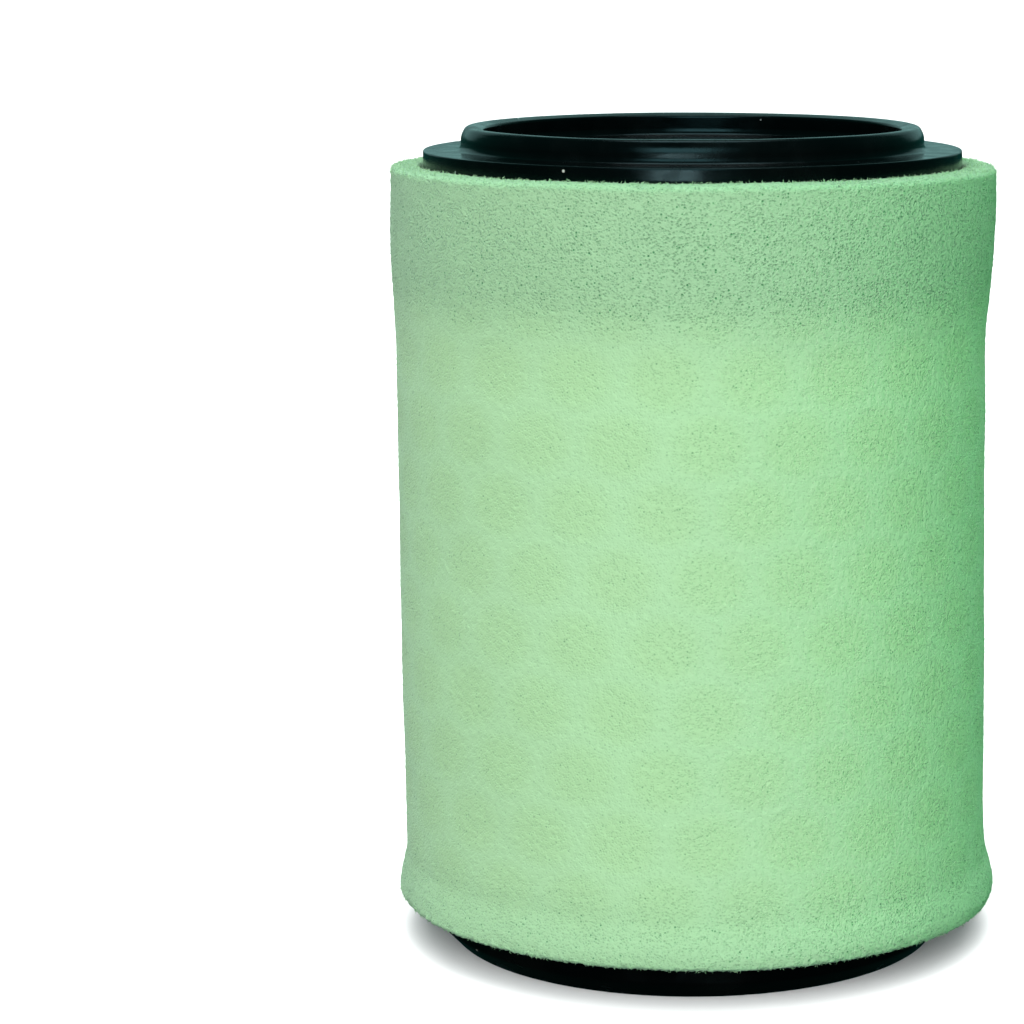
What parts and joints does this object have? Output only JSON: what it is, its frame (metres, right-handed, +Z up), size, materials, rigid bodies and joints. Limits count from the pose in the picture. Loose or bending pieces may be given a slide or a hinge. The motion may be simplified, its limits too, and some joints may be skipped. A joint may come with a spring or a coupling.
{
  "type": "air filter cartridge",
  "caption": "Cylindrical pleated-paper air filter cartridge with a perforated steel wrap, moulded black rubber end caps and a slip-on green foam pre-filter sleeve.",
  "frame": {"origin": "middle of the flat ring under the lower cap, on the cartridge's axis", "axes": "+Z up the axis towards the outlet and sealing lip; -Y is the front, where the mould mark is a little to its left; +X to the right"},
  "size_m": [0.098, 0.098, 0.1324],
  "materials": {
    "green_foam": "soft matte open-cell polyurethane foam, light mint green",
    "galvanised_sheet": "zinc-coated perforated sheet with a faint spangle",
    "filter_paper": "matte cream filter paper, resin treated",
    "seam_glue": "dull hot-melt glue",
    "black_rubber": "smooth moulded black polyurethane rubber, satin",
    "potting_compound": "cast black compound, uneven satin"
  },
  "bodies": {
    "cartridge": {"outer_screen": "galvanised_sheet", "inner_core": "galvanised_sheet", "pleated_media": "filter_paper", "media_seam_bead": "seam_glue", "top_end_cap": "black_rubber", "top_potting": "potting_compound", "bottom_end_cap": "black_rubber", "bottom_potting": "potting_compound"},
    "sleeve": {"foam_sleeve": "green_foam"}
  },
  "joints": [
    {"name": "sleeve_slide", "type": "slide", "parent": "cartridge", "child": "sleeve", "axis": [0, 0, 1], "range_m": [0, 0.14]}
  ]
}
